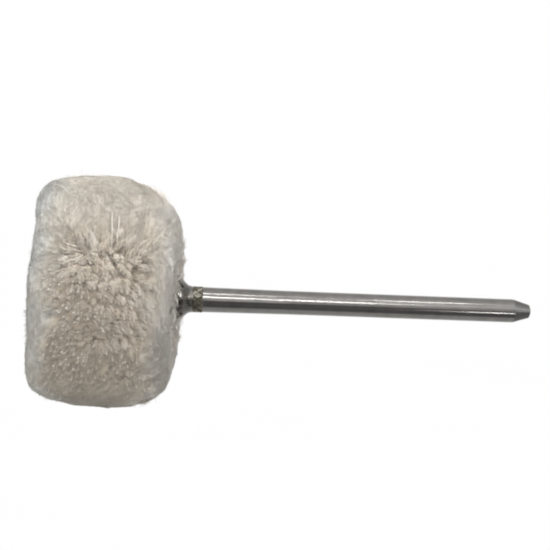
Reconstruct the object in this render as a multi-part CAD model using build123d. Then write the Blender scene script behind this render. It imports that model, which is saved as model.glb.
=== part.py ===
from build123d import *
import os
from math import acos, copysign, cos, degrees, pi, radians, sin

# A small yarn polishing wheel on a steel mandrel, for a rotary handpiece. Millimetres.
# The spin axis is Y. The origin is on it, at the head end of the shank's parallel grip.
# +Y runs out of the shank's tip, so the yarn head lies on the -Y side. +Z is up.

# Shank, from the free tip towards the head
grip_diameter = 2.35
grip_length = 22.3
tip_length = 1.65
tip_end_diameter = 1.35
tip_crown = 0.2  # how far the rounded end stands out past the cone
swell_length = 9.0  # the shank thickens slightly from the grip to the knurled neck
neck_diameter = 2.48
knurl_diameter = 2.58
knurl_length = 1.0
knurl_edge = 0.08
knurl_grooves = 8  # in each direction
knurl_angle = 42  # between a groove and the spin axis
knurl_depth = 0.15
knurl_width = 0.34

# Spigot through the head and the riveted front end
spigot_diameter = 1.6
rivet_diameter = 2.3
rivet_height = 0.45
washer_diameter = 2.9
washer_thickness = 0.25
washer_bevel = 0.05

# Toothed crowns
crown_neck_diameter = 2.6
crown_waist_diameter = 2.84
crown_rim_diameter = 3.6
crown_tip_diameter = 4.2
crown_wall = 0.24
crown_edge = 0.14  # the same, at the ends of the teeth
crown_floor = 0.45  # thickness of the solid floor round the spigot
crown_rim_depth = 0.85  # from the neck to the root of the teeth
crown_length = 1.55
teeth = 8
tooth_point = 0.14  # width left at the end of each tooth

# Yarn head
head_diameter = 22.8
head_width = 14.8
head_centre_from_shoulder = 8.3
head_widest_from_centre = 1.7  # the widest place lies this far forward of the middle
head_fullness = 3.2  # 2 would round the section into an ellipse, and more squares it up
head_dish_diameter = 10.5  # inside this, each face sinks towards its crown
front_crown_from_centre = 6.2
mouth_gap = 0.15  # from the tips of the teeth to the yarn beside them
fan_diameter = 13.8  # where the rows have fanned out to their full spread
rows = 8
row_gap = 0.03  # each row keeps this clear of the plane it shares with the next
wire_diameter = 0.4
wire_ring_diameter = 3.5
wire_split = 6  # degrees left open between the two cut ends of a ring

clearance = 0.05  # between pieces that touch in the real wheel
slip = 0.02  # the same, on the spigot

shoulder = -swell_length - knurl_length
head_centre = shoulder - head_centre_from_shoulder
front_face = head_centre - front_crown_from_centre
spigot_radius = spigot_diameter / 2
bore_radius = spigot_radius + slip
sleeve_radius = (crown_waist_diameter / 2 - crown_wall) - clearance


def turned(outline):
    """A solid turned about the spin axis from its half section, given as a wire in the XY plane."""
    return revolve(make_face(outline), Axis.Y)


def around(shape, count):
    """Copies of a shape, evenly spaced round the spin axis."""
    return [Rot(0, i * 360 / count, 0) * shape for i in range(count)]


def cap_radius(half_width, height):
    """The radius of a spherical cap, from its half width and its height."""
    return (half_width**2 + height**2) / (2 * height)


def knurl_groove(lean):
    """A V-groove cutter lying across the knurled neck, at an angle to the spin axis."""
    top = knurl_diameter / 2 + knurl_depth
    bottom = knurl_diameter / 2 - knurl_depth
    section = Plane.XZ * Polyline((-knurl_width, top), (knurl_width, top), (0, bottom), close=True)
    bar = extrude(make_face(section), amount=knurl_length * 1.5, both=True)
    return Pos(0, shoulder + knurl_length / 2, 0) * Rot(0, 0, lean) * bar


def make_mandrel():
    grip = grip_diameter / 2
    neck = neck_diameter / 2
    knurl = knurl_diameter / 2
    tip_end = tip_end_diameter / 2
    rivet = rivet_diameter / 2
    tip_start = grip_length
    tip_edge = grip_length + tip_length
    rivet_back = front_face - washer_thickness
    rivet_front = rivet_back - rivet_height
    rivet_edge = rivet_back - slip
    dome_radius = cap_radius(rivet, rivet_edge - rivet_front)
    dome = RadiusArc((0, rivet_front), (rivet, rivet_edge), -dome_radius)
    shaft = Polyline(
        (rivet, rivet_edge),
        (spigot_radius, rivet_edge),
        (spigot_radius, shoulder),
        (knurl - knurl_edge, shoulder),
        (knurl, shoulder + knurl_edge),
        (knurl, -swell_length - knurl_edge),
        (neck, -swell_length),
        (grip, 0),
        (grip, tip_start),
        (tip_end, tip_edge),
    )
    end = RadiusArc((tip_end, tip_edge), (0, tip_edge + tip_crown), -cap_radius(tip_end, tip_crown))
    axis = Line((0, tip_edge + tip_crown), (0, rivet_front))
    solid = turned(dome + shaft + end + axis)
    for lean in (-knurl_angle, knurl_angle):
        solid -= around(knurl_groove(lean), knurl_grooves)
    return solid


def tooth_notch():
    """The V-shaped gap between two teeth. It widens with the radius, so the teeth keep even flanks."""
    root = -crown_rim_depth
    open_end = -crown_length - clearance
    half_share = (pi * crown_tip_diameter / teeth - tooth_point) / crown_tip_diameter
    sections = []
    for radius in (crown_neck_diameter / 4, crown_tip_diameter):
        half = half_share * radius
        triangle = make_face(Polyline((0, root), (half, open_end), (-half, open_end), close=True))
        sections.append(Pos(0, 0, radius) * triangle)
    return loft(sections, ruled=True)


def make_crown():
    """A toothed bell with its neck at the origin and its teeth towards -Y."""
    neck = crown_neck_diameter / 2
    waist = crown_waist_diameter / 2
    rim = crown_rim_diameter / 2
    tip = crown_tip_diameter / 2
    outside = Spline(
        (neck, 0),
        (waist, -crown_floor),
        (rim, -crown_rim_depth),
        (tip, -crown_length),
    )
    edge = Line((tip, -crown_length), (tip - crown_edge, -crown_length))
    inside = Spline(
        (tip - crown_edge, -crown_length),
        (rim - crown_wall, -crown_rim_depth),
        (waist - crown_wall, -crown_floor),
    )
    floor = Polyline(
        (waist - crown_wall, -crown_floor),
        (bore_radius, -crown_floor),
        (bore_radius, 0),
        (neck, 0),
    )
    bell = turned(outside + edge + inside + floor)
    return bell - around(tooth_notch(), teeth)


def tube(inner, outer, front, back, bevel=0.0):
    """A turned ring round the spin axis, with its outer edges bevelled."""
    outline = Polyline(
        (inner, front),
        (outer - bevel, front),
        (outer, front + bevel),
        (outer, back - bevel),
        (outer - bevel, back),
        (inner, back),
        close=True,
    )
    return turned(outline)


def make_front_washer():
    back = front_face - slip
    return tube(bore_radius, washer_diameter / 2, front_face - washer_thickness, back, washer_bevel)


def make_hub_sleeve():
    front = front_face + crown_floor + clearance
    back = shoulder - crown_floor - clearance
    return tube(bore_radius, sleeve_radius, front, back, clearance)


def skin_point(turn):
    """
    A point on the outline of the yarn, as radius and place along the axis.

    The outline is a superellipse. The turn runs from -90 degrees at the front face, through 0 at the
    widest place, to 90 at the rear face.
    """
    widest = head_centre - head_widest_from_centre
    reach = head_width / 2 + copysign(head_widest_from_centre, turn)
    outward = cos(radians(turn)) ** (2 / head_fullness)
    along = abs(sin(radians(turn))) ** (2 / head_fullness)
    return head_diameter / 2 * outward, widest + copysign(along * reach, turn)


def fill_section():
    """Half section of the whole yarn head, from the hub out: dished faces and a barrel-shaped rim."""
    bore = sleeve_radius + clearance
    mouth = crown_tip_diameter / 2 + mouth_gap
    front_hub = front_face + crown_length + clearance
    back_hub = shoulder - crown_length - clearance
    dish_turn = degrees(acos((head_dish_diameter / head_diameter) ** (head_fullness / 2)))
    steps = 6
    outline = [skin_point(dish_turn * step / steps) for step in range(-steps, steps + 1)]
    skin = Spline((mouth, front_hub), *outline, (mouth, back_hub))
    hub = Polyline((mouth, back_hub), (bore, back_hub), (bore, front_hub), (mouth, front_hub))
    return make_face(skin + hub)


def row_plane(index):
    """Where the plane between two rows crosses the hub and the rim. Rows fan out towards the rim."""
    share = index / rows
    front_hub = front_face + crown_length
    back_hub = shoulder - crown_length
    at_hub = front_hub + (back_hub - front_hub) * share
    at_rim = head_centre + head_width * (share - 0.5)
    return at_hub, at_rim


def make_row(index):
    """One row of yarn, with the hollow that its ring wire fills."""
    hub_radius = wire_ring_diameter / 2 + wire_diameter
    fan_radius = fan_diameter / 2
    outside = head_diameter
    front_hub, front_rim = row_plane(index)
    back_hub, back_rim = row_plane(index + 1)
    if index == 0:
        front_hub -= head_width
        front_rim -= head_width
    if index == rows - 1:
        back_hub += head_width
        back_rim += head_width
    strip = Polyline(
        (0, front_hub + row_gap),
        (hub_radius, front_hub + row_gap),
        (fan_radius, front_rim + row_gap),
        (outside, front_rim + row_gap),
        (outside, back_rim - row_gap),
        (fan_radius, back_rim - row_gap),
        (hub_radius, back_hub - row_gap),
        (0, back_hub - row_gap),
        close=True,
    )
    hollow = Pos(wire_ring_diameter / 2, wire_place(index)) * Circle(wire_diameter / 2 + clearance)
    section = (fill_section() & make_face(strip)) - hollow
    return revolve(section, Axis.Y)


def wire_place(index):
    """Where a row's ring wire lies along the spin axis."""
    return (row_plane(index)[0] + row_plane(index + 1)[0]) / 2


def make_core_wire(index):
    """A ring of wire bent round the hub, its two cut ends almost touching."""
    section = Pos(wire_ring_diameter / 2, wire_place(index)) * Circle(wire_diameter / 2)
    return revolve(section, Axis.Y, revolution_arc=360 - wire_split)


crown = make_crown()
pieces = {
    "mandrel": make_mandrel(),
    "front_washer": make_front_washer(),
    "front_crown": Pos(0, front_face, 0) * Rot(180, 0, 0) * crown,
    "rear_crown": Pos(0, shoulder - slip, 0) * crown,
    "hub_sleeve": make_hub_sleeve(),
}
for number in range(1, rows + 1):
    pieces[f"yarn_row_{number}"] = make_row(number - 1)
    pieces[f"core_wire_{number}"] = make_core_wire(number - 1)

os.makedirs("parts", exist_ok=True)
for node, solid in pieces.items():
    export_step(solid, f"parts/{node}.step")
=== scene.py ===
from math import ceil, cos, pi, radians, sin, tan

import bpy
import numpy as np
from mathutils import Matrix, Vector


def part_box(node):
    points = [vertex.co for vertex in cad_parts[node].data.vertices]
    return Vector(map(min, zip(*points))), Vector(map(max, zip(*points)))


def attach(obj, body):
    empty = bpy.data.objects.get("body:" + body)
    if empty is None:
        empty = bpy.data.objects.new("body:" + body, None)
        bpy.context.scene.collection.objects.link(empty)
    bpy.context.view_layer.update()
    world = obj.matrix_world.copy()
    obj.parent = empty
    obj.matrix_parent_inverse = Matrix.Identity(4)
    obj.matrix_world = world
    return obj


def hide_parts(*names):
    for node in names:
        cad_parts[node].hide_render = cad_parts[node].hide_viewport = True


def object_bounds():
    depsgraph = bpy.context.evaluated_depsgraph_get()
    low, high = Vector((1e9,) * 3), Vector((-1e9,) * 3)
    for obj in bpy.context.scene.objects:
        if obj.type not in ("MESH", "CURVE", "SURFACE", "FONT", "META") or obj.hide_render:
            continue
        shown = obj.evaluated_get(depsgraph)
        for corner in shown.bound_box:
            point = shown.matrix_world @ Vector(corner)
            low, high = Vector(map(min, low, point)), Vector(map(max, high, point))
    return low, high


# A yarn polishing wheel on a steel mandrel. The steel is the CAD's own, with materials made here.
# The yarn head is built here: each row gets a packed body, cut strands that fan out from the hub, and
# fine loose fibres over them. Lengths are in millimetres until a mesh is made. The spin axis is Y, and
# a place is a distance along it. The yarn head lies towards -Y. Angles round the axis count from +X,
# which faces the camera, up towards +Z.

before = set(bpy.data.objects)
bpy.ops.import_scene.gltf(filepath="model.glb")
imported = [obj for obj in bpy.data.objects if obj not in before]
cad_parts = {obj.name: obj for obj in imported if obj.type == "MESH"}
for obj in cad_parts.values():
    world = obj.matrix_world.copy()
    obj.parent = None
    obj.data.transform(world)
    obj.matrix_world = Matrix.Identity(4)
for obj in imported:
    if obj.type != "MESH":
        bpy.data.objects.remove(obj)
cad_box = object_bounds()

MM = 0.001
BODY = "root"
ROWS = 8
rng = np.random.default_rng(2026)

# Size and place of the yarn head, from the CAD
row_boxes = [[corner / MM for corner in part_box(f"yarn_row_{row + 1}")] for row in range(ROWS)]
head_front = min(low.y for low, high in row_boxes)
head_rear = max(high.y for low, high in row_boxes)
head_radius = max(high.z for low, high in row_boxes)
head_middle = (head_front + head_rear) / 2
head_width = head_rear - head_front
row_width = head_width / ROWS
hub_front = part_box("front_crown")[1].y / MM
hub_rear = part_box("rear_crown")[0].y / MM
hub_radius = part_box("hub_sleeve")[1].z / MM + 0.25

# Shape of the brushed-out yarn
head_widest = head_middle - 1.7
fullness_front = 5.0  # of the superellipse that the half section follows: 2 would be an ellipse
fullness_rear = 3.8
dish_radius = 2.25  # no strand ends closer to the axis than this
still_radius = 1.6  # swells and dish leave the yarn alone inside this, and fade in over 1 mm
fluff_height = 0.1  # loose fibres stand this far out past the strands
rear_bulge = 0.3  # the rear face stands out this far past its solid
face_dish = 0.4  # the front face sinks this far
face_rim = 9.6  # inside this radius
face_slope = 3.0  # and reaches its full depth this far further in
lopsided = 0.043  # share by which the yarn stands taller above the axis than below it
ripple = 0.012  # share by which the radius varies at random
lean = radians(3.2)  # the head leans towards the shank at its top

# Strands
strand_pitch = 0.60
strand_radius = 0.37
twist_length = 3.6
tuft_pitch = 1.6
tuft_pull = 0.34
end_jitter = 0.15
wander = 0.25
strands_to_a_piece = 230

# Brushing. The sides are brushed out into fluff, from this share of the way to a face, over this share
edge_start = 0.50
edge_spread = 0.34
# The middle of each face: its radius, and how loose the strands stand there
loose_front = (9.0, 0.8)
loose_rear = (7.0, 0.4)
loose_spread = 2.5

# Partings, where the strands lie away from a line on the skin. Each one runs through places on the
# skin: how far along the axis, and the angle round it in degrees. Then come its depth and its spread.
partings = [
    ([(-21.3, 24), (-20.3, 22)], 0.7, 0.85),
    ([(-17.2, 24), (-16.0, 20)], 0.7, 0.85),
    ([(-19.4, 28), (-18.6, 28)], 0.5, 0.6),
    ([(-20.5, 14), (-20.2, 13)], 0.35, 0.4),
    ([(-16.2, -17), (-15.8, -18)], 0.35, 0.4),
    ([(-18.7, -19), (-18.3, -20)], 0.35, 0.4),
    ([(-23.0, 142), (-19.5, 135), (-16.0, 144)], 0.8, 1.3),
    ([(-22.0, 214), (-18.0, 222), (-14.0, 212)], 0.9, 1.4),
    ([(-20.5, 262), (-16.5, 254)], 0.7, 1.2),
]
parting_steps = 12  # points on each stretch of a parting
parting_lie = 4.2  # times its spread: how far round a parting the strands lie away from it
parting_open = 2.4  # times its spread: how far round it strands may be missing
parting_gaps = 0.45  # share of the strands missing at its middle
parting_bare = 0.6  # share of the brushing that a parting undoes

# Swells and hollows in the outline. Each has its middle (radius, place along the axis, and angle), its
# reach, and how far it stands out.
swells = [
    ((9.0, -25.7, 80), 3.0, 0.75),
    ((11.3, -24.3, 88), 2.0, -0.45),
    ((11, -12.5, 88), 4.5, -0.8),
    ((11, -25.0, -88), 4.0, -0.95),
    ((10.5, -25.3, -88), 2.2, -0.75),
    ((11, -25.5, -22), 3.0, -0.4),
    ((10.5, -11.8, -74), 2.2, 0.6),
    ((6.0, -10.9, -60), 3.5, -0.4),
    ((10, -25.7, 197), 2.4, -0.8),
    ((10, -25.4, 222), 2.2, 0.3),
    ((6.0, -10.9, 0), 4.8, -1.25),
    ((11, -17.0, 180), 5.0, 0.35),
    ((11, -20.5, 225), 4.0, -0.4),
]

# Darker patches on the yarn: the middle of each, its reach, and its strength. The one low on the front is
# painted shade over the lower middle of the head.
darkened_patches = [
    ((-18.0, -50), 7.0, 1.0),
    ((-21.0, 140), 5.0, 0.7),
    ((-16.0, 240), 5.0, 0.7),
]

# Long strands that lie loose over the fluff, each from one place on the skin to another
locks = [
    ((-17.7, 27), (-18.1, 46.5)),
    ((-17.3, 28), (-17.35, 43)),
    ((-18.0, 118), (-16.6, 104)),
    ((-17.0, 226), (-16.4, 241)),
]

# Swept patches, where the strands are brushed flat: the middle of each, its reach, the way it is
# swept, as steps along the axis and round it, and how far it is brushed out into smooth fluff.
sweeps = [
    ((-19.0, 64), 7.5, (0.0, 1.0), 1.0),
    ((-15.5, 170), 6.5, (0.4, 1.0), 1.0),
    ((-19.5, 255), 6.5, (0.2, -1.0), 1.0),
    ((-19.0, -78), 7.0, (-0.2, -1.0), 0.93),
    ((-14.8, 0), 4.5, (0.8, -0.9), 0.12),
]


# ---------------- skin of the yarn head

def outline(turn):
    """Radius and place of the head's half section. The turn runs from -pi/2 to pi/2."""
    reach = np.where(turn > 0, head_rear + rear_bulge - head_widest, head_widest - head_front)
    power = 2 / np.where(turn > 0, fullness_rear, fullness_front)
    along = np.abs(np.sin(turn)) ** power * np.sign(turn)
    return (head_radius - fluff_height) * np.cos(turn) ** power, head_widest + along * (reach - fluff_height)


skin_turns = np.linspace(-pi / 2, pi / 2, 1201)
skin_turns = skin_turns[outline(skin_turns)[0] > dish_radius]
skin_radii, skin_places = outline(skin_turns)
skin_lengths = np.concatenate([[0], np.cumsum(np.hypot(np.diff(skin_radii), np.diff(skin_places)))])
skin_total = skin_lengths[-1]


def skin(length):
    """Radius and place of the skin at a distance along its section, and its outward normal there."""
    step = 0.05
    length = np.clip(length, step, skin_total - step)
    radius, place = (np.interp(length, skin_lengths, values) for values in (skin_radii, skin_places))
    d_radius, d_place = (np.interp(length + step, skin_lengths, values)
                         - np.interp(length - step, skin_lengths, values)
                         for values in (skin_radii, skin_places))
    size = np.hypot(d_radius, d_place)
    return radius, place, d_place / size, -d_radius / size


def around(radius, place, angle):
    """Points from radius, place and angle."""
    radius, place, angle = np.broadcast_arrays(radius, place, angle)
    return np.stack([radius * np.cos(angle), place, radius * np.sin(angle)], -1)


def unit(vectors):
    return vectors / np.maximum(np.linalg.norm(vectors, axis=-1, keepdims=True), 1e-9)


def dot(first, second):
    return (first * second).sum(-1, keepdims=True)


def row_at(place):
    """The row that a place belongs to, counted from 0."""
    return np.clip(np.floor((place - head_front) / row_width), 0, ROWS - 1)


def line_between(start, end, steps):
    """Shares, places and angles of steps from one place and angle on the skin to another."""
    share = np.linspace(0, 1, steps)
    place = start[0] + (end[0] - start[0]) * share
    angle = radians(start[1]) + radians(end[1] - start[1]) * share
    return share, place, angle


def waves(points, length, seed, count=7):
    """A smooth random field, between about -1 and 1, from a few plane waves of about this length."""
    own = np.random.default_rng(seed)
    directions = unit(own.normal(size=(count, 3)))
    steps = 2 * pi / (length * own.uniform(0.7, 1.5, count))
    phases = own.uniform(0, 2 * pi, count)
    return np.sin(points @ directions.T * steps + phases).sum(-1) / count**0.5


def settle(points):
    """Gives the head its uneven outline: taller above the axis, leaning, dished in front, with swells."""
    radius = np.hypot(points[..., 0], points[..., 2])
    share = np.clip(radius / head_radius, 0, 1.2) ** 2
    taller = lopsided * points[..., 2] / np.maximum(radius, 1e-6)
    swell = 1 + share * (taller + ripple * waves(points, 9, 5))
    moved = points * np.stack([swell, np.ones_like(swell), swell], -1)
    moved[..., 1] += tan(lean) * points[..., 2] * np.clip(radius / head_radius, 0, 1)
    free = np.clip(radius - still_radius, 0, 1)
    front = np.clip((head_middle - points[..., 1]) / (head_middle - head_front), 0, 1)
    moved[..., 1] += face_dish * front**3 * np.clip((face_rim - radius) / face_slope, 0, 1) * free
    outwards = unit(points - [0, head_middle, 0])
    for (centre_radius, place, angle), reach, height in swells:
        centre = around(centre_radius, place, radians(angle))
        gap = np.linalg.norm(points - centre, axis=-1)
        moved += outwards * (free * height * np.exp(-(gap / reach) ** 2))[..., None]
    return moved


# ---------------- strands

def lay_out_ends():
    """Distance along the skin's section and angle round the axis, for every strand."""
    lengths, angles = [], []
    length = 0.1
    while length < skin_total:
        radius, _, _, facing = skin(length)
        pitch = strand_pitch * (1 + 0.45 * abs(facing))
        count = int(2 * pi * radius / pitch)
        lengths.append(np.full(count, length))
        angles.append((np.arange(count) + rng.uniform()) * 2 * pi / count)
        length += 0.87 * pitch  # rows nest between each other
    lengths, angles = np.concatenate(lengths), np.concatenate(angles)
    lengths += rng.normal(0, end_jitter, len(lengths))
    angles += rng.normal(0, end_jitter, len(angles)) / skin(lengths)[0]
    return np.clip(lengths, 0, skin_total), angles


def towards_tufts(points):
    """How far each end is drawn towards the middle of its tuft."""
    own = np.random.default_rng(11)
    count = int(4 * pi * head_radius**2 * 0.9 / tuft_pitch**2)
    lengths = own.uniform(0, skin_total, count)
    radius, place, _, _ = skin(lengths)
    keep = own.uniform(0, head_radius, count) < radius
    centres = around(radius, place, own.uniform(0, 2 * pi, count))[keep]
    pull = np.empty_like(points)
    block_size = 500  # keeps the table of gaps small
    for start in range(0, len(points), block_size):
        block = points[start:start + block_size]
        gaps = np.linalg.norm(block[:, None] - centres[None], axis=-1)
        pull[start:start + block_size] = centres[gaps.argmin(1)] - block
    reach = np.linalg.norm(pull, axis=-1, keepdims=True)
    return pull * np.exp(-(reach / (0.9 * tuft_pitch)) ** 2)


def away_from_parting(points, places, spread):
    """A push away from a line on the skin, strongest beside it, and how close each point is to it."""
    line = []
    for start, end in zip(places, places[1:]):
        _, place, angle = line_between(start, end, parting_steps)
        line.append(around(np.interp(place, skin_places, skin_radii), place, angle))
    line = np.concatenate(line)
    gaps = points[:, None] - line[None]
    distances = np.linalg.norm(gaps, axis=-1)
    nearest = distances.argmin(1)
    rows = np.arange(len(points))
    distance = distances[rows, nearest][:, None]
    closeness = np.exp(-(distance / spread) ** 2)
    return gaps[rows, nearest] / (distance + 0.25) * closeness, closeness[:, 0]


def combed(points, place, angle, normals):
    """Which way the yarn is swept at points on the skin, its brushing, and how near a face it is."""
    forwards = np.zeros_like(points)
    forwards[:, 1] = 1
    upwards = np.stack([-np.sin(angle), 0 * angle, np.cos(angle)], -1)
    side = (place - head_middle) / head_width * 2
    side += 0.06 * waves(points, 4, 61)
    edge = np.clip((np.abs(side) - edge_start) / edge_spread, 0, 1)
    way = forwards * (np.sign(side) * edge * 1.1)[:, None]
    brush = edge.copy()
    for (centre_place, centre_angle), reach, (along, round_axis), smooth in sweeps:
        centre = around(head_radius, centre_place, radians(centre_angle))
        closeness = np.exp(-(np.linalg.norm(points - centre, axis=-1) / reach) ** 4)
        way += (forwards * along + upwards * round_axis) * closeness[:, None]
        brush = np.maximum(brush, closeness * smooth)
    radius = np.hypot(points[:, 0], points[:, 2])
    loose_radius = np.where(side > 0, loose_rear[0], loose_front[0])
    loose = np.where(side > 0, loose_rear[1], loose_front[1])
    loose = loose * np.clip((loose_radius - radius + waves(points, 4, 62)) / loose_spread, 0, 1)
    way += around(loose, 0.0, angle)
    way -= normals * dot(way, normals)
    return way, brush * (1 - loose), edge * (1 - loose)


class Strands:
    """Every strand's path: it starts at the hub, runs outwards, and turns to its end on the skin."""

    def __init__(self):
        lengths, self.angles = lay_out_ends()
        radius, place, normal_out, normal_along = skin(lengths)
        ends = around(radius, place, self.angles)
        self.normals = around(normal_out, normal_along, self.angles)
        self.start_ways = around(np.ones_like(self.angles), 0, self.angles)
        self.count = len(ends)
        self.rows = row_at(place)

        shift, lying, opened = self.parted(ends)
        brushed, brush, self.edge = combed(ends, place, self.angles, self.normals)
        short = self.shortened(ends, opened)
        self.brush = brush * (1 - parting_bare * opened)
        self.buried = rng.uniform(0, 1, self.count) < 1.25 * self.brush - 0.1
        short -= 0.15 * self.brush
        self.ends = ends + shift + self.normals * short[:, None]

        hub_share = (place - head_front) / head_width
        hub_place = hub_front + (hub_rear - hub_front) * (0.04 + 0.92 * hub_share)
        self.starts = around(hub_radius, hub_place, self.angles)
        facing = np.abs(normal_along)[:, None]  # 0 on the rim, 1 on a face
        upright = unit(self.normals * (0.8 - 0.45 * facing) + self.start_ways * (0.2 + 0.45 * facing))
        flat = np.minimum(np.linalg.norm(brushed, axis=-1), 1) * (1 - parting_bare * opened)
        tilt = 0.3 * shift + 1.3 * lying + 1.1 * unit(brushed) * flat[:, None]
        self.end_ways = unit(upright + tilt + rng.normal(0, 0.10, (self.count, 3)))
        self.spans = np.linalg.norm(self.ends - self.starts, axis=-1)
        self.radii = strand_radius * rng.uniform(0.75, 1.2, self.count)
        self.shades = rng.uniform(0, 1, self.count)
        self.phases = rng.uniform(0, 2 * pi, self.count)

    def parted(self, ends):
        """How far the ends shift over the skin, which way they lie, and how open the yarn is there."""
        shift = tuft_pull * towards_tufts(ends)
        lying = np.zeros_like(ends)
        opened = np.zeros(len(ends))
        for places, depth, spread in partings:
            push, _ = away_from_parting(ends, places, spread)
            shift += depth * push
            push, _ = away_from_parting(ends, places, parting_lie * spread)
            lying += push
            _, closeness = away_from_parting(ends, places, parting_open * spread)
            opened = np.maximum(opened, closeness)
        shift -= self.normals * dot(shift, self.normals)
        wandered = np.stack([waves(ends, 5, seed) for seed in (21, 22, 23)], -1) * wander
        shift += wandered - self.normals * dot(wandered, self.normals)
        return shift, lying, opened

    def shortened(self, ends, opened):
        """How far each strand stops short of the skin, as a height below 0."""
        short = rng.normal(0, 0.06, self.count) - 0.2 * rng.uniform(0, 1, self.count) ** 3
        short += 0.10 * waves(ends, 2.4, 31)
        missing = rng.uniform(0, 1, self.count) < parting_gaps * opened
        return short - np.where(missing, 1.2, 0.0)

    def at(self, which, share):
        """Points and directions on the chosen strands, at a share of the way from hub to end."""
        share = np.asarray(share, float)[..., None]
        start, end = self.starts[which], self.ends[which]
        span = self.spans[which][:, None]
        near = start + self.start_ways[which] * span * 0.4
        far = end - self.end_ways[which] * span * 0.36
        if share.ndim == 3:
            start, near, far, end = start[:, None], near[:, None], far[:, None], end[:, None]
        rest = 1 - share
        points = start * rest**3 + 3 * near * rest**2 * share + 3 * far * rest * share**2 + end * share**3
        ways = (near - start) * rest**2 + 2 * (far - near) * rest * share + (end - far) * share**2
        return points, unit(ways)


def across(ways, angles):
    """Two directions at right angles to each way and to each other."""
    sideways = np.stack([-np.sin(angles), 0 * angles, np.cos(angles)], -1)
    if ways.ndim == 3:
        sideways = sideways[:, None]
    first = unit(sideways - ways * dot(sideways, ways) + 1e-6)
    return first, np.cross(ways, first)


# ---------------- meshes

colour_depth = 4.0  # the yarn turns from its outer to its inner colour over this depth, a painted shade that darkens it deeper in
thread_sides = 3


def tubes(rings, caps_start, caps_end):
    """Closed tubes as vertices and faces. Rings is tubes x rings x sides x 3, and each cap one point."""
    count, ring_count, sides, _ = rings.shape
    per_tube = ring_count * sides + 2
    vertices = np.concatenate([rings.reshape(count, -1, 3), caps_start[:, None], caps_end[:, None]], 1)
    side = np.arange(sides)
    beside = (side + 1) % sides
    ring = np.arange(ring_count - 1)[:, None] * sides
    quads = np.stack([ring + side, ring + beside, ring + sides + beside, ring + sides + side], -1)
    last = (ring_count - 1) * sides
    first_cap = np.stack([beside, side, np.full(sides, per_tube - 2)], -1)
    last_cap = np.stack([last + side, last + beside, np.full(sides, per_tube - 1)], -1)
    offsets = np.arange(count)[:, None, None] * per_tube
    quads = quads.reshape(1, -1, 4) + offsets
    triangles = np.concatenate([first_cap, last_cap])[None] + offsets
    return vertices.reshape(-1, 3), quads.reshape(-1, 4), triangles.reshape(-1, 3)


def rings_round(spine, first, second, radius, sides):
    """Rings of points round spines. Radius is given at each knot, as one value or one for each side."""
    turn = np.arange(sides) * 2 * pi / sides
    flat = first[:, :, None] * np.cos(turn)[:, None] + second[:, :, None] * np.sin(turn)[:, None]
    return spine[:, :, None] + flat * radius[..., None]


def strand_attributes(strands, which, out, shade):
    """The attributes of tubes that follow strands. Out is given at each point of each tube."""
    per_tube = out.shape[1]
    return {
        "bulk": np.zeros(out.size),
        "out": np.clip(out, 0, 1).ravel(),
        "shade": np.repeat(shade, per_tube),
        "brush": np.repeat(strands.brush[which], per_tube),
        "edge": np.repeat(strands.edge[which], per_tube),
        "skin": np.repeat(strands.normals[which], per_tube, axis=0),
    }


def joined(parts):
    """Several meshes' arrays as one."""
    vertices, quads, triangles, attributes = zip(*parts)
    starts = np.cumsum([0] + [len(own) for own in vertices])
    quads = np.concatenate([own + start for own, start in zip(quads, starts)])
    triangles = np.concatenate([own + start for own, start in zip(triangles, starts)])
    attributes = {key: np.concatenate([own[key] for own in attributes]) for key in attributes[0]}
    return np.concatenate(vertices), quads, triangles, attributes


def darkening(points):
    """How much the darker patches darken the yarn at each point."""
    share = np.zeros(len(points))
    for (place, angle), reach, strength in darkened_patches:
        gap = np.linalg.norm(points - around(head_radius, place, radians(angle)), axis=-1)
        share = np.maximum(share, strength * np.exp(-(gap / reach) ** 2))
    return share


def link(name, data):
    """A new object in the scene."""
    item = bpy.data.objects.new(name, data)
    bpy.context.scene.collection.objects.link(item)
    return item


def make_object(name, vertices, quads, triangles, attributes, material):
    """A smooth mesh object, in metres, from arrays in millimetres."""
    mesh = bpy.data.meshes.new(name)
    mesh.vertices.add(len(vertices))
    mesh.vertices.foreach_set("co", (vertices * MM).astype(np.float32).ravel())
    corners = np.concatenate([quads.ravel(), triangles.ravel()]).astype(np.int32)
    quad_starts = np.arange(len(quads)) * 4
    triangle_starts = len(quads) * 4 + np.arange(len(triangles)) * 3
    starts = np.concatenate([quad_starts, triangle_starts]).astype(np.int32)
    mesh.loops.add(len(corners))
    mesh.loops.foreach_set("vertex_index", corners)
    mesh.polygons.add(len(starts))
    mesh.polygons.foreach_set("loop_start", starts)
    mesh.update(calc_edges=True)
    mesh.validate()
    mesh.shade_smooth()
    for key, values in {**attributes, "darkening": darkening(vertices)}.items():
        kind, field = ("FLOAT_VECTOR", "vector") if values.ndim == 2 else ("FLOAT", "value")
        mesh.attributes.new(key, kind, "POINT").data.foreach_set(field, values.astype(np.float32).ravel())
    mesh.materials.append(material)
    return link(name, mesh)


# A strand's solid middle: how deep under its end each ring lies, and its share of the strand's radius
core_depths = np.array([9.0, 5.0, 3.4, 2.6, 2.1, 1.7, 1.45, 1.25])
core_swells = np.array([0.6, 0.7, 0.72, 0.70, 0.62, 0.50, 0.36, 0.20])
core_sides = 6
core_tip = 0.08
ply_height = 0.16  # share of the radius by which the two plies stand out


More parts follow.
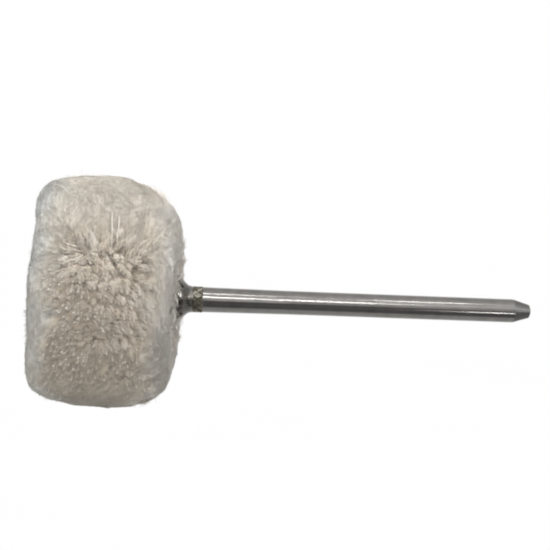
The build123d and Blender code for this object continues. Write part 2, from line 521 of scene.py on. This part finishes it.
def core_mesh(strands, which):
    """The solid middle of each strand: two-ply yarn, rounded off under its cut end."""
    span = strands.spans[which][:, None]
    depth = np.minimum(core_depths[None], span * np.linspace(1, 0, len(core_depths))[None] ** 0.5)
    points, ways = strands.at(which, 1 - depth / span)
    first, second = across(ways, strands.angles[which])
    turn = np.arange(core_sides) * 2 * pi / core_sides
    twist = strands.phases[which][:, None] + depth * 2 * pi / twist_length
    ply = 1 + ply_height * np.cos(2 * (turn - twist[..., None]))
    radius = strands.radii[which][:, None, None] * core_swells[None, :, None] * ply
    rings = rings_round(points, first, second, radius, core_sides)
    tips = points[:, -1] + ways[:, -1] * core_tip
    vertices, quads, triangles = tubes(rings, points[:, 0], tips)
    out = np.repeat(1 - depth / colour_depth, core_sides, axis=1)
    out = np.concatenate([out, np.zeros((len(which), 1)), out[:, -1:]], 1)
    return settle(vertices), quads, triangles, strand_attributes(strands, which, out, strands.shades[which])


def threads(spine, strands, chosen, radius, out, shade):
    """Closed threads along spines. Radius and out are given at each knot of each thread."""
    first, second = across(unit(np.gradient(spine, axis=1)), strands.angles[chosen])
    rings = rings_round(spine, first, second, radius[..., None], thread_sides)
    vertices, quads, triangles = tubes(rings, spine[:, 0], spine[:, -1])
    out = np.concatenate([np.repeat(out, thread_sides, axis=1), out[:, :1], out[:, -1:]], 1)
    return settle(vertices), quads, triangles, strand_attributes(strands, chosen, out, shade)


# Filaments of a strand: how many show at a free and at a brushed end, the knots along each one, and
# its thickness at each knot
filaments_free = 34
filaments_brushed = 20
filament_knots = np.array([[0, 0.4, 0.8, 1]])
filament_taper = np.array([[0.8, 1.0, 0.9, 0.35]])
filament_turn = 40  # radians round the strand from its middle filament to its outermost
filament_jitter = 0.03
cut_dome = 0.32  # the middle of a cut end stands out this far past its rim
cut_spread = 0.7  # the filaments spread apart over this depth


def filament_mesh(strands, which):
    """The plies' own filaments, wound round each strand and spreading where it was cut."""
    each = filaments_free + (filaments_brushed - filaments_free) * strands.brush[which]
    each = np.round(each).astype(int)
    chosen = np.repeat(which, each)
    count = len(chosen)
    order = np.arange(count) - np.repeat(np.cumsum(each) - each, each)
    total = np.repeat(each, each)
    brush = strands.brush[chosen][:, None]
    deepest = rng.uniform(1.5, 2.4, (count, 1)) + brush
    topmost = cut_dome * (order / total)[:, None] + rng.uniform(-0.10, 0.12, (count, 1))
    topmost -= 0.15 * brush * rng.uniform(-1, 1, (count, 1))
    depth = deepest + (topmost - deepest) * filament_knots
    points, ways = strands.at(chosen, np.clip(1 - depth / strands.spans[chosen][:, None], 0, 1))
    points -= ways * np.minimum(depth, 0)[..., None]
    first, second = across(ways, strands.angles[chosen])
    share = ((order + 0.5) / total)[:, None]  # filaments fill the strand from its middle out
    turn = strands.phases[chosen][:, None] + share * filament_turn + depth * 2 * pi / twist_length
    loosened = np.exp(-np.maximum(depth, 0) / cut_spread)
    spread = share**0.5 * (0.82 + (0.38 + 0.67 * brush) * loosened)
    off = (strands.radii[chosen][:, None] * spread)[..., None]
    spine = points + (first * np.cos(turn)[..., None] + second * np.sin(turn)[..., None]) * off
    spine += rng.normal(0, filament_jitter, spine.shape)
    thickness = rng.uniform(0.040, 0.060, (count, 1)) * filament_taper * (1 - 0.35 * brush)
    return threads(spine, strands, chosen, thickness, 1 - depth / colour_depth, strands.shades[chosen])


# Loose fibres at the strands' ends: how many there are on a free and on a brushed strand, how long
# they are, how deep they start, how far they lean away, how thick they are, and how many knots they have
long_fibres = ((7, 13), (0.8, 2.6), (0.3, 2.6), 0.5, 0.016, 4)
short_fibres = ((24, 4), (0.15, 0.45), (0.0, 0.5), 0.8, 0.012, 3)
shortest_fibre = 0.15
fibre_bend = 0.14  # share of its length that a fibre bends aside


def veil_mesh(strands, which, counts, lengths, starts, splay, thickness, knots):
    """Fine loose fibres that leave the strands near their ends, curl, and blur them."""
    each = np.round(counts[0] + (counts[1] - counts[0]) * strands.brush[which]).astype(int)
    chosen = np.repeat(which, each)
    count = len(chosen)
    normals = strands.normals[chosen]
    depth = rng.uniform(*starts, count)
    points, ways = strands.at(chosen, np.clip(1 - depth / strands.spans[chosen], 0, 1))
    first, second = across(ways, strands.angles[chosen])
    turn = rng.uniform(0, 2 * pi, count)[:, None]
    sideways = first * np.cos(turn) + second * np.sin(turn)
    root = points + sideways * strands.radii[chosen][:, None] * rng.uniform(0.3, 1.1, (count, 1))
    angle = np.abs(rng.normal(0, splay, count))[:, None]
    way = ways * np.cos(angle) + sideways * np.sin(angle)
    # A fibre ends before it stands out past the fluff
    rise = np.maximum((way * normals).sum(-1), 0.15)
    room = (np.maximum(depth, 0) * (ways * normals).sum(-1) + fluff_height) / rise
    length = np.minimum(rng.uniform(*lengths, count), np.maximum(room, shortest_fibre))[:, None]
    bend = unit(rng.normal(size=(count, 3))) * length * fibre_bend
    steps = np.linspace(0, 1, knots)[None, :, None]
    spine = root[:, None] + way[:, None] * length[:, None] * steps + bend[:, None] * np.sin(steps * 3.6)
    taper = np.interp(steps[..., 0], [0, 0.2, 0.7, 1], [0.7, 1, 0.9, 0.4])
    radius = thickness * rng.uniform(0.7, 1.3, (count, 1)) * taper
    out = np.clip(1 - depth / colour_depth, 0, 1)[:, None] + 0.1 * steps[..., 0]
    return threads(spine, strands, chosen, radius, out, rng.uniform(0.3, 1, count))


def row_limits(row):
    """Where a row begins and ends along the skin's section."""
    limits = [head_front + row_width * row, head_front + row_width * (row + 1)]
    first, last = np.interp(limits, skin_places, skin_lengths)
    return (0 if row == 0 else first), (skin_total if row == ROWS - 1 else last)


packed_free = 0.62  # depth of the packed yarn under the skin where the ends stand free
packed_brushed = 0.10  # and where they are brushed out
packed_opened = 0.85  # how much deeper it lies in a parting
packed_overlap = 0.15  # each row reaches this far into the next
packed_edge = 0.3  # and sinks by this much at its own two edges
packed_pitch = 0.17
packed_steps = 400
packed_shade = 0.6


def packed_under(points, place, angle, normals):
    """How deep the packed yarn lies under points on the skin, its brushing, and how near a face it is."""
    shape = points.shape[:-1]
    points, normals = points.reshape(-1, 3), normals.reshape(-1, 3)
    _, brush, edge = combed(points, place.ravel(), angle.ravel(), normals)
    opened = np.zeros(len(points))
    for places, _, spread in partings:
        _, closeness = away_from_parting(points, places, spread)
        opened = np.maximum(opened, closeness)
    brush = brush * (1 - parting_bare * opened)
    depth = packed_free + (packed_brushed - packed_free) * brush + packed_opened * opened
    lumps = (0.03 + 0.03 * brush) * waves(points, 2.6, 42)
    depth -= lumps + (0.10 - 0.08 * brush) * waves(points, 0.9, 43)
    return depth.reshape(shape), brush.reshape(shape), edge.reshape(shape)


def packed_mesh(row):
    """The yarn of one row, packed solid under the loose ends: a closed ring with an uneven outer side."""
    first, last = row_limits(row)
    first, last = first - packed_overlap, last + packed_overlap
    lengths = np.linspace(first, last, int((last - first) / packed_pitch) + 2)
    radius, place, normal_out, normal_along = (values[None] for values in skin(lengths))
    angle = np.arange(packed_steps)[:, None] * 2 * pi / packed_steps
    points = around(radius, place, angle)
    normals = around(normal_out, normal_along, angle)
    depth, brush, edge = packed_under(points, *np.broadcast_arrays(place, angle), normals)
    depth[:, [0, -1]] += packed_edge
    points -= normals * depth[..., None]

    # Two corners at the hub close the section
    hub_places = hub_front + (hub_rear - hub_front) * np.array([row + 0.98, row + 0.02]) / ROWS
    points = np.concatenate([points, around(hub_radius, hub_places[None], angle)], 1)
    normals = np.concatenate([normals, around(np.ones((1, 2)), 0.0, angle)], 1)
    corners = points.shape[1]
    corner, step = np.arange(corners)[None], np.arange(packed_steps)[:, None] * corners
    next_corner, next_step = (corner + 1) % corners, np.roll(step, -1, axis=0)
    quads = [step + corner, step + next_corner, next_step + next_corner, next_step + corner]
    quads = np.stack(quads, -1).reshape(-1, 4)

    def with_hub(values):
        return np.concatenate([values, np.zeros((packed_steps, 2))], 1).ravel()

    attributes = {
        "bulk": np.ones(packed_steps * corners),
        "out": with_hub(1 - depth / colour_depth),
        "shade": np.full(packed_steps * corners, packed_shade),
        "brush": with_hub(brush),
        "edge": with_hub(edge),
        "skin": normals.reshape(-1, 3),
    }
    return settle(points.reshape(-1, 3)), quads, np.zeros((0, 3), int), attributes


nap_density = 34  # lying fibres to a square millimetre of smooth fluff
nap_heights = np.array([-0.08, 0.06, 0.10, 0.06])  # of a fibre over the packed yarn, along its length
nap_taper = np.array([[1, 1, 0.9, 0.4]])
nap_drift = 0.3  # how far slow waves turn the fibres aside
nap_ball = 11  # radius of the ball that those waves run on
nap_stretch = 3.4  # length of skin, along its section, that one piece covers


def nap_roots(first, last):
    """Fibres for one stretch of skin: distance along it, angle, heading, brushing, and nearness to a face."""
    widest = skin(np.linspace(first, last, 40))[0].max()
    tries = int(nap_density * 2 * pi * widest * (last - first))
    length = rng.uniform(first, last, tries)
    angle = rng.uniform(0, 2 * pi, tries)
    radius, place, normal_out, normal_along = skin(length)
    normals = around(normal_out, normal_along, angle)
    way, brush, edge = combed(around(radius, place, angle), place, angle, normals)
    kept = (rng.uniform(0, widest, tries) < radius) & (rng.uniform(0, 1, tries) < 0.75 + 0.25 * brush)
    length, angle, way, brush, edge = (values[kept] for values in (length, angle, way, brush, edge))
    along = around(-normal_along[kept], normal_out[kept], angle)
    round_axis = around(1.0, 0.0, angle + pi / 2)
    drift_along, drift_round = (waves(normals[kept] * nap_ball, 3, seed)[:, None] for seed in (71, 72))
    way = unit(way + nap_drift * (along * drift_along + round_axis * drift_round))
    heading = np.arctan2((way * round_axis).sum(-1), (way * along).sum(-1))
    return length, angle, heading + rng.normal(0, 0.25, len(heading)), brush, edge


def nap_mesh(first, last):
    """Fine fibres combed flat over the skin, most of all where it is smooth, for one stretch of it."""
    length, angle, heading, brush, edge = nap_roots(first, last)
    count = len(length)
    size = rng.uniform(0.7, 2.4, count) * (0.55 + 0.45 * brush)
    knots = np.linspace(0, 1, len(nap_heights))[None]
    curl = rng.normal(0, 0.35, (count, 1)) * knots
    step_along = np.cos(heading[:, None] + curl) * size[:, None] * knots
    step_round = np.sin(heading[:, None] + curl) * size[:, None] * knots
    lengths = np.clip(length[:, None] + step_along, 0.05, skin_total - 0.05)
    radius, place, normal_out, normal_along = skin(lengths)
    angles = angle[:, None] + step_round / radius
    normals = around(normal_out, normal_along, angles)
    spine = around(radius, place, angles)
    depth, _, _ = packed_under(spine, place, angles, normals)
    lift = nap_heights * rng.uniform(0.5, 1.4, (count, 1)) + rng.uniform(-0.03, 0.07, (count, 1)) * knots
    lift += 0.09 * (1 - brush[:, None]) * np.sqrt(knots)
    spine += normals * (lift - depth)[..., None]
    thickness = rng.uniform(0.009, 0.016, (count, 1)) * nap_taper
    first_side = unit(np.cross(unit(np.gradient(spine, axis=1)), normals))
    rings = rings_round(spine, first_side, normals, thickness[..., None], thread_sides)
    vertices, quads, triangles = tubes(rings, spine[:, 0], spine[:, -1])
    per_tube = thread_sides * len(nap_heights) + 2
    attributes = {
        "bulk": np.full(count * per_tube, 0.5),
        "out": np.ones(count * per_tube),
        "shade": np.repeat(rng.uniform(0.2, 1, count), per_tube),
        "brush": np.repeat(brush, per_tube),
        "edge": np.repeat(edge, per_tube),
        "skin": np.repeat(normals[:, 2], per_tube, axis=0),
    }
    return settle(vertices), quads, triangles, attributes


lock_threads = 7
lock_sides = 4
lock_knots = 14
lock_turn = 9  # radians that a lock twists along its length
lock_thickness = 0.030


def lock_part(start, end):
    """One long loose strand: a thin twist of filaments that rises from the skin and lies over it."""
    share, place, angle = line_between(start, end, lock_knots)
    radius, place, normal_out, normal_along = skin(np.interp(place, skin_places, skin_lengths))
    normals = around(normal_out, normal_along, angle)
    lift = np.interp(share, [0, 0.15, 0.6, 0.9, 1], [-0.5, 0.02, 0.07, 0.06, 0.0])
    spine = around(radius, place, angle) + normals * lift[:, None]
    side = np.cross(unit(np.gradient(spine, axis=0)), normals)
    turn = rng.uniform(0, 2 * pi, (lock_threads, 1)) + share * lock_turn
    spread = np.interp(share, [0, 0.2, 0.85, 1], [1, 1, 0.8, 1.6])
    off = rng.uniform(0.02, 0.07, (lock_threads, 1)) * spread
    paths = spine + (side * np.cos(turn)[..., None] + normals * np.sin(turn)[..., None]) * off[..., None]
    side = unit(np.cross(unit(np.gradient(paths, axis=1)), normals))
    thickness = lock_thickness * np.interp(share, [0, 0.1, 0.8, 1], [0.8, 1, 0.9, 0.4])
    rings = rings_round(paths, side, normals[None], thickness[:, None], lock_sides)
    vertices, quads, triangles = tubes(rings, paths[:, 0], paths[:, -1])
    count = len(vertices)
    attributes = {"bulk": 0, "out": 1, "shade": 1, "brush": 0.5, "edge": 0}
    attributes = {key: np.full(count, float(value)) for key, value in attributes.items()}
    attributes["skin"] = np.tile(normals.mean(0), (count, 1))
    return vertices, quads, triangles, attributes


def lock_mesh(starting):
    """The given long loose strands as one mesh."""
    vertices, quads, triangles, attributes = joined([lock_part(start, end) for start, end in starting])
    return settle(vertices), quads, triangles, attributes


# ---------------- materials

class Nodes:
    """A short way to write the nodes of a material or of the world."""

    def __init__(self, owner, output="ShaderNodeOutputMaterial"):
        owner.use_nodes = True
        self.owner = owner
        self.tree = owner.node_tree
        self.tree.nodes.clear()
        self.output = self.add(output)

    def add(self, kind, inputs=None, **settings):
        node = self.tree.nodes.new(kind)
        for key, value in settings.items():
            setattr(node, key, value)
        for key, value in (inputs or {}).items():
            self.feed(node.inputs[key], value)
        return node

    def feed(self, socket, value):
        if isinstance(value, bpy.types.NodeSocket):
            self.tree.links.new(value, socket)
        elif isinstance(value, tuple) and len(value) == 3 and socket.type == "RGBA":
            socket.default_value = (*value, 1)
        else:
            socket.default_value = value

    def places(self, stretch=(1, 1, 1)):
        """The object's own coordinates, in millimetres, stretched."""
        coordinates = self.add("ShaderNodeTexCoord").outputs["Object"]
        scale = tuple(share / MM for share in stretch)
        return self.add("ShaderNodeMapping", {"Vector": coordinates, "Scale": scale}).outputs["Vector"]

    def place_along(self):
        """How far along the spin axis, in millimetres."""
        return self.add("ShaderNodeSeparateXYZ", {"Vector": self.places()}).outputs["Y"]

    def noise(self, size, detail=2.0, roughness=0.5, stretch=(1, 1, 1)):
        inputs = {"Vector": self.places(stretch), "Scale": 1 / size, "Detail": detail, "Roughness": roughness}
        return self.add("ShaderNodeTexNoise", inputs).outputs["Fac"]

    def scaled(self, value, start, end, low=0.0, high=1.0):
        """A number that goes from low to high as the value goes from start to end."""
        inputs = {"Value": value, "From Min": start, "From Max": end, "To Min": low, "To Max": high}
        return self.add("ShaderNodeMapRange", inputs).outputs["Result"]

    def ramp(self, factor, stops):
        """Colours between stops. A stop with one number is grey."""
        node = self.add("ShaderNodeValToRGB", {"Fac": factor})
        elements = node.color_ramp.elements
        while len(elements) < len(stops):
            elements.new(0.5)
        for element, (position, colour) in zip(elements, stops):
            element.position = position
            element.color = (*colour, 1) if len(colour) == 3 else (colour[0],) * 3 + (1,)
        return node.outputs["Color"]

    def mix(self, factor, first, second, blend="MIX"):
        node = self.add("ShaderNodeMix", data_type="RGBA", blend_type=blend)
        sockets = [socket for socket in node.inputs if socket.enabled]
        for socket, value in zip(sockets, (factor, first, second)):
            self.feed(socket, value)
        return [socket for socket in node.outputs if socket.enabled][0]

    def multiply(self, first, second):
        return self.mix(1.0, first, second, "MULTIPLY")

    def value(self, name):
        return self.add("ShaderNodeAttribute", attribute_name=name).outputs["Fac"]

    def bump(self, height, strength, distance_mm):
        inputs = {"Height": height, "Strength": strength, "Distance": distance_mm * MM}
        return self.add("ShaderNodeBump", inputs).outputs["Normal"]

    def finish(self, kind, inputs):
        """Ends in a shader of this kind, and gives back the material or world."""
        shader = self.add(kind, inputs)
        self.tree.links.new(shader.outputs[0], self.output.inputs["Surface"])
        return self.owner


white = (1.0, 1.0, 1.0)
depth_shaded_yarn = [  # from deep inside to the cut ends: painted shade, darker and browner deeper in, the very ends a little darker
    (0.0, (0.64, 0.54, 0.42)),
    (0.6, (0.90, 0.83, 0.74)),
    (0.90, (1.0, 0.95, 0.88)),
    (1.0, (0.95, 0.905, 0.835)),
]
brushed_out = (0.91, 0.87, 0.80)
# The rims' colours, which the sides take on. The rear rim is darker than the front rim: painted shade, for
# light falling more on the front side.
lit_front_rim = (0.86, 0.873, 0.862)
shaded_rear_rim = (0.825, 0.805, 0.77)
rim_blend = 3  # the rims' colours blend over this distance on each side of the head's middle
darkened_tone = (0.80, 0.78, 0.75)
strand_tones = [(0.0, (0.90, 0.88, 0.85)), (1.0, white)]
mottling = [(0.35, (0.93, 0.91, 0.88)), (0.65, white)]


def cotton():
    """Ivory yarn, greyer on the sides, with strands and mottling in their own tones. Painted shade darkens it
    deep inside, on the packed body, on the rear rim and in the darker patch low on the front; darker patches
    elsewhere darken it too.
    """
    nodes = Nodes(bpy.data.materials.new("cotton_yarn"))
    brush, edge = nodes.value("brush"), nodes.value("edge")
    colour = nodes.mix(brush, nodes.ramp(nodes.value("out"), depth_shaded_yarn), brushed_out)
    rear = nodes.scaled(nodes.place_along(), head_middle - rim_blend, head_middle + rim_blend)
    colour = nodes.mix(edge, colour, nodes.mix(rear, lit_front_rim, shaded_rear_rim))
    colour = nodes.multiply(colour, nodes.ramp(nodes.value("shade"), strand_tones))
    colour = nodes.multiply(colour, nodes.ramp(nodes.noise(2.6, 3.0), mottling))
    # The packed body has no fibres of its own to hold shadows between, so its colour is darkened: painted
    # shade, less on the sides, and half as much on the lying fibres
    body_shade = nodes.mix(brush, (0.85, 0.825, 0.775), (0.86, 0.86, 0.86))
    body_shade = nodes.mix(edge, body_shade, (0.94, 0.94, 0.94))
    colour = nodes.multiply(colour, nodes.mix(nodes.value("bulk"), white, body_shade))
    # Darker patches; the one low on the front is painted shade
    colour = nodes.multiply(colour, nodes.mix(nodes.value("darkening"), white, darkened_tone))
    # Light scatters through the fluff, so it shades like the skin as much as like each fibre
    own = nodes.add("ShaderNodeNewGeometry").outputs["Normal"]
    skin_normal = nodes.add("ShaderNodeAttribute", attribute_name="skin").outputs["Vector"]
    soft = nodes.mix(nodes.scaled(brush, 0, 1, 0.55, 0.9), own, skin_normal)
    normal = nodes.add("ShaderNodeVectorMath", {0: soft}, operation="NORMALIZE").outputs["Vector"]
    return nodes.finish("ShaderNodeBsdfPrincipled", {
        "Base Color": colour,
        "Roughness": 0.95,
        "Diffuse Roughness": 1.0,
        "Specular IOR Level": 0.0,
        "Normal": normal,
    })


zone_edge = 0.03  # half the width over which one zone of steel turns into the next


def steel(name, colour, dull_colour, roughness, streaks, grain, zones=()):
    """
    Bare steel: a base colour mottled with a duller one, scratches along the axis, and a fine grain.
    Each zone runs between two places along the axis, and has its own colour and roughness.
    """
    nodes = Nodes(bpy.data.materials.new(name))
    scratches = nodes.noise(0.08, 3.0, 0.6, stretch=(1, 0.02, 1))
    dull = nodes.ramp(nodes.noise(1.4, 3.0, 0.6), [(0.45, (0.0,)), (0.75, (1.0,))])
    tone = nodes.mix(dull, colour, dull_colour)
    rough = nodes.ramp(scratches, [(0.3, (roughness - streaks,)), (0.7, (roughness + streaks,))])
    place = nodes.place_along()
    for start, end, zone_colour, zone_roughness in zones:
        begun = nodes.scaled(place, start - zone_edge, start + zone_edge)
        ended = nodes.scaled(place, end - zone_edge, end + zone_edge, 1.0, 0.0)
        inside = nodes.multiply(begun, ended)
        tone = nodes.mix(inside, tone, zone_colour)
        rough = nodes.mix(inside, rough, (zone_roughness,) * 3)
    height = nodes.mix(0.5, scratches, nodes.noise(0.03, 2.0, 0.5))
    return nodes.finish("ShaderNodeBsdfPrincipled", {
        "Base Color": tone,
        "Metallic": 1.0,
        "Roughness": rough,
        "Normal": nodes.bump(height, grain, 0.01),
    })


# ---------------- build

def yarn_kinds(strands, row):
    """The pieces that one row of yarn is made of: a name for each, and the meshes it holds."""
    which = np.flatnonzero((strands.rows == row) & ~strands.buried)
    starting = [(start, end) for start, end in locks if row_at(start[0]) == row]
    if starting:
        yield "locks", [lock_mesh(starting)]
    for batch, some in enumerate(np.array_split(which, ceil(len(which) / strands_to_a_piece)), 1):
        yield f"strands{batch}", [core_mesh(strands, some), filament_mesh(strands, some)]
        yield f"fluff{batch}", [veil_mesh(strands, some, *fibres) for fibres in (long_fibres, short_fibres)]
    yield "body", [packed_mesh(row)]
    first, last = row_limits(row)
    marks = np.linspace(first, last, max(1, round((last - first) / nap_stretch)) + 1)
    for number, (start, end) in enumerate(zip(marks, marks[1:]), 1):
        yield f"nap{number}", [nap_mesh(start, end)]


strands = Strands()
cotton_material = cotton()
for row in range(ROWS):
    for kind, parts in yarn_kinds(strands, row):
        piece = make_object(f"yarn_{kind}_{row + 1}", *joined(parts), cotton_material)
        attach(piece, BODY)
        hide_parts(f"yarn_row_{row + 1}")

mandrel_zones = [
    (-30, -20, (0.50, 0.49, 0.47), 0.32),  # the riveted end
    (-10, -9, (0.40, 0.38, 0.32), 0.36),  # the knurled neck
    (22.3, 30, (0.42, 0.41, 0.39), 0.50),  # the tip
]
polished = steel("polished_steel", (0.62, 0.60, 0.57), (0.50, 0.48, 0.45),
                 roughness=0.15, streaks=0.05, grain=0.15, zones=mandrel_zones)
crown_steel = steel("crown_steel", (0.52, 0.50, 0.46), (0.34, 0.31, 0.26),
                    roughness=0.22, streaks=0.08, grain=0.6)
washer_steel = steel("washer_steel", (0.55, 0.54, 0.52), (0.42, 0.41, 0.39),
                     roughness=0.3, streaks=0.06, grain=0.3)
wire_steel = steel("wire_steel", (0.50, 0.49, 0.47), (0.38, 0.37, 0.35),
                   roughness=0.3, streaks=0.06, grain=0.3)
node_materials = {
    "mandrel": polished,
    "front_crown": crown_steel,
    "rear_crown": crown_steel,
    "front_washer": washer_steel,
    "hub_sleeve": washer_steel,
    "core_wire": wire_steel,
    "yarn_row": cotton_material,
}
for name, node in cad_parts.items():
    node.data.materials.clear()
    node.data.materials.append(node_materials[name.rstrip("_0123456789")])


# ---------------- camera, floor and light

def make_camera():
    azimuth, elevation, roll = radians(85.19), radians(3), radians(2.46)
    target = Vector((0, -1.93, 2.71))
    distance = 110
    back = Vector((sin(azimuth) * cos(elevation), -cos(azimuth) * cos(elevation), sin(elevation)))
    level = Vector((cos(azimuth), sin(azimuth), 0))
    upright = back.cross(level)
    right = level * cos(roll) + upright * sin(roll)
    up = upright * cos(roll) - level * sin(roll)
    data = bpy.data.cameras.new("camera")
    data.sensor_width = 36
    data.lens = 72.5
    data.clip_start = 0.005
    data.clip_end = 20
    camera = link("camera", data)
    turn = Matrix((right, up, back)).transposed().to_4x4()
    camera.matrix_world = Matrix.Translation((target + back * distance) * MM) @ turn
    bpy.context.scene.camera = camera


floor_half = 4000
floor_drop = 14  # from the lowest point of the part


def make_floor():
    """A pale floor without shadows, well below the part. Only the camera sees it."""
    nodes = Nodes(bpy.data.materials.new("floor"))
    grain = nodes.ramp(nodes.noise(40, 2.0), [(0.3, (0.995,)), (0.7, (1.0,))])
    half = floor_half * MM
    height = cad_box[0].z - floor_drop * MM
    corners = [(side * half, front * half, height) for side, front in ((-1, -1), (1, -1), (1, 1), (-1, 1))]
    mesh = bpy.data.meshes.new("floor")
    mesh.from_pydata(corners, [], [(0, 1, 2, 3)])
    mesh.materials.append(nodes.finish("ShaderNodeEmission", {"Color": grain, "Strength": 1.0}))
    floor = link("floor", mesh)
    floor.visible_diffuse = False
    floor.visible_glossy = False
    floor.visible_shadow = False


# Brightness of the studio in the steel's reflections, by the angle round the spin axis in degrees
studio_bands = [
    (-180, 0.7), (-140, 0.45), (-108, 0.3), (-76, 0.28), (-62, 0.08), (-6, 0.09), (12, 0.35),
    (30, 0.6), (45, 0.52), (80, 0.40), (110, 0.3), (140, 0.4), (180, 0.7),
]


def cloth_sky(nodes, axes):
    """A soft sky for the cloth: brighter from above than from below, and from the sides."""
    height = nodes.scaled(axes["Z"], -1.0, 1.0, 0.50, 1.12)
    sideways = nodes.add("ShaderNodeMath", {0: axes["Y"], 1: axes["Y"]}, operation="MULTIPLY")
    level = {0: sideways.outputs[0], 1: 0.22, 2: height}
    level = nodes.add("ShaderNodeMath", level, operation="MULTIPLY_ADD").outputs[0]
    tint = nodes.mix(height, (0.94, 0.99, 1.04), (1.0, 0.99, 0.97))
    return nodes.add("ShaderNodeBackground", {"Color": tint, "Strength": level}).outputs[0]


def steel_studio(nodes, axes):
    """A studio for the steel: bands round the spin axis, darker beyond the shank's tip."""
    angle = nodes.add("ShaderNodeMath", {0: axes["Z"], 1: axes["X"]}, operation="ARCTAN2").outputs[0]
    stops = [((degree + 180) / 360, (level,)) for degree, level in studio_bands]
    bands = nodes.ramp(nodes.scaled(angle, -pi, pi), stops)
    beyond = nodes.scaled(axes["Y"], 0.35, 0.6, 1.0, 0.6)
    return nodes.add("ShaderNodeBackground", {"Color": bands, "Strength": beyond}).outputs[0]


def make_world():
    """White for the camera, a soft sky for cloth, and a banded studio in the steel's reflections."""
    nodes = Nodes(bpy.data.worlds.new("studio"), "ShaderNodeOutputWorld")
    way = nodes.add("ShaderNodeTexCoord").outputs["Generated"]
    axes = nodes.add("ShaderNodeSeparateXYZ", {"Vector": way}).outputs
    path = nodes.add("ShaderNodeLightPath").outputs
    lit = {0: path["Is Glossy Ray"], 1: cloth_sky(nodes, axes), 2: steel_studio(nodes, axes)}
    lit = nodes.add("ShaderNodeMixShader", lit).outputs[0]
    backdrop = nodes.add("ShaderNodeBackground", {"Color": white, "Strength": 1.0}).outputs[0]
    seen = {0: path["Is Camera Ray"], 1: lit, 2: backdrop}
    bpy.context.scene.world = nodes.finish("ShaderNodeMixShader", seen)


def area_light(name, place, size, radiance, target):
    """A soft rectangular light. Place, size and target are in millimetres."""
    data = bpy.data.lights.new(name, "AREA")
    data.shape = "RECTANGLE"
    data.size, data.size_y = size[0] * MM, size[1] * MM
    data.energy = radiance * pi * size[0] * size[1] * MM * MM
    light = link(name, data)
    light.location = Vector(place) * MM
    light.rotation_mode = "QUATERNION"
    light.rotation_quaternion = (Vector(target) - Vector(place)).to_track_quat("-Z", "Y")
    return light


strip_distance = 150  # from the spin axis to the ends of a strip light


def strip_light(name, start, end, width, radiance):
    """A long narrow light that shows as a line on the shank. Each end is an angle and a place."""
    ends = [Vector(around(strip_distance, place, radians(degree))) for degree, place in (start, end)]
    middle = (ends[0] + ends[1]) / 2
    along = (ends[1] - ends[0]).normalized()
    facing = Vector((middle.x, 0, middle.z))
    facing = (facing - along * facing.dot(along)).normalized()
    light = area_light(name, middle, (width, (ends[1] - ends[0]).length), radiance, (0, middle.y, 0))
    turn = Matrix((along.cross(facing), along, facing)).transposed()
    light.rotation_quaternion = turn.to_quaternion()


make_camera()
make_floor()
make_world()
softbox = area_light("softbox", (100, -30, 160), (340, 340), 0.60, (0, -10, 0))
softbox.visible_glossy = False
strip_light("strip_low", (29, -40), (28, 38), width=3.5, radiance=14.0)
strip_light("strip_high", (62, -40), (62, 10), width=5, radiance=8.0)
strip_light("strip_far", (58, 34), (60, 56), width=5, radiance=8.0)
strip_light("strip_under", (-24, 56), (-22, 72), width=4, radiance=9.0)
area_light("glint", (100, 120, 60), (45, 45), 3.5, (0, -11, 0))
bpy.context.scene.view_settings.view_transform = "Standard"
bpy.context.scene.cycles.diffuse_bounces = 10  # light finds its way between the strands
bpy.context.scene.cycles.filter_width = 2.0
